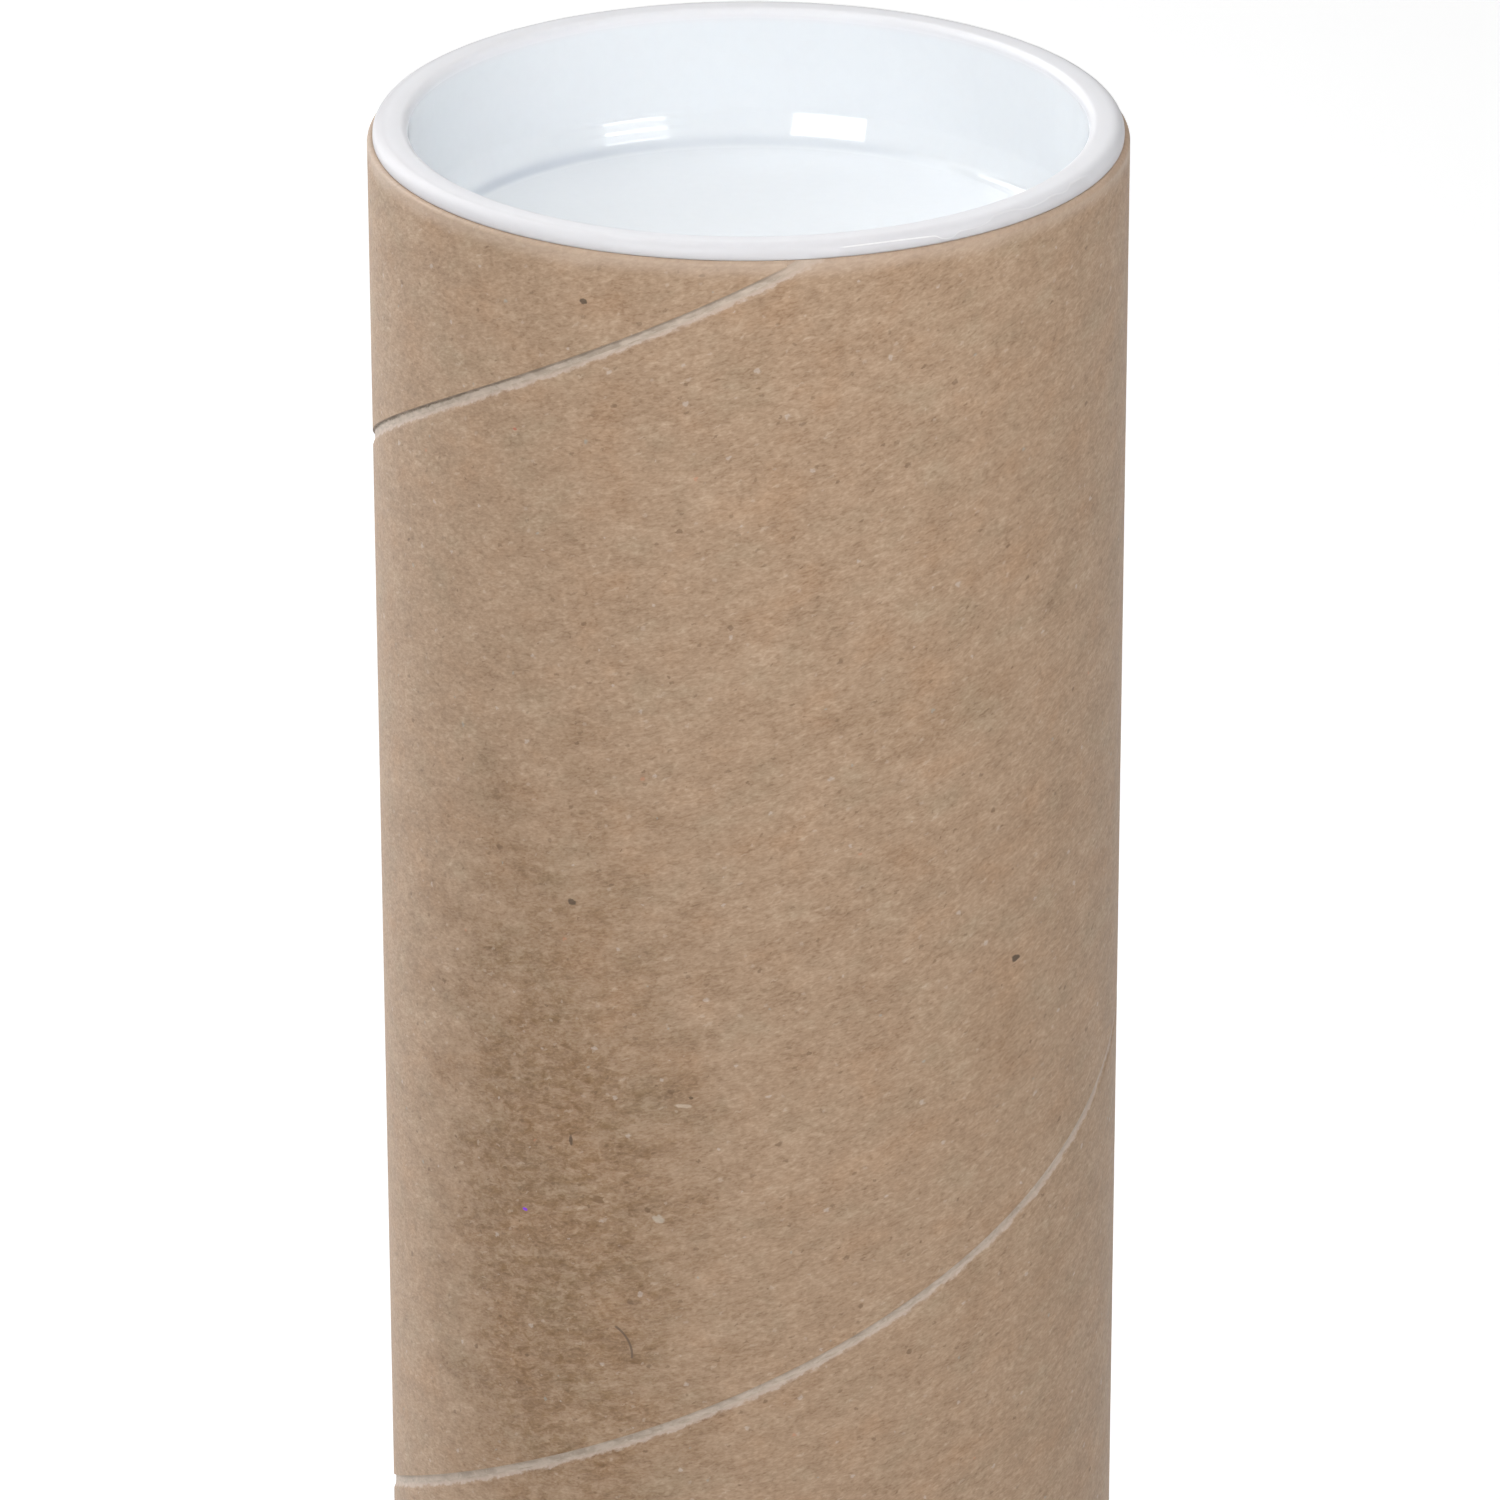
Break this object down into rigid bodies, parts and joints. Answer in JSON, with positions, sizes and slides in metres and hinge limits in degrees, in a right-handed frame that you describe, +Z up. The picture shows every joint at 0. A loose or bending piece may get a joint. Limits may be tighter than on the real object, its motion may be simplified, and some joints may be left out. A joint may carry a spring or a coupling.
{
  "type": "cardboard mailing tube",
  "caption": "Round spiral-wound kraft board mailing tube with a dished white plastic plug pushed into each end, standing on its end.",
  "frame": {"origin": "centre of the ring that the tube stands on, which is the bottom plug's outer face", "axes": "+Z up the tube's own axis, towards the top plug; -Y faces the viewer of the picture"},
  "size_m": [0.0812, 0.0812, 0.4604],
  "materials": {
    "kraft_board": "natural brown kraft board, matt, with fine fibres and flecks",
    "white_plastic": "white polyethylene moulding, glossy and slightly translucent"
  },
  "bodies": {
    "tube": {"tube": "kraft_board"},
    "top_cap": {"top_cap": "white_plastic"},
    "bottom_cap": {"bottom_cap": "white_plastic"}
  },
  "joints": [
    {"name": "top_cap_pull", "type": "slide", "parent": "tube", "child": "top_cap", "axis": [0, 0, 1], "range_m": [0, 0.1]},
    {"name": "bottom_cap_pull", "type": "slide", "parent": "tube", "child": "bottom_cap", "axis": [0, 0, -1], "range_m": [0, 0.1]}
  ]
}
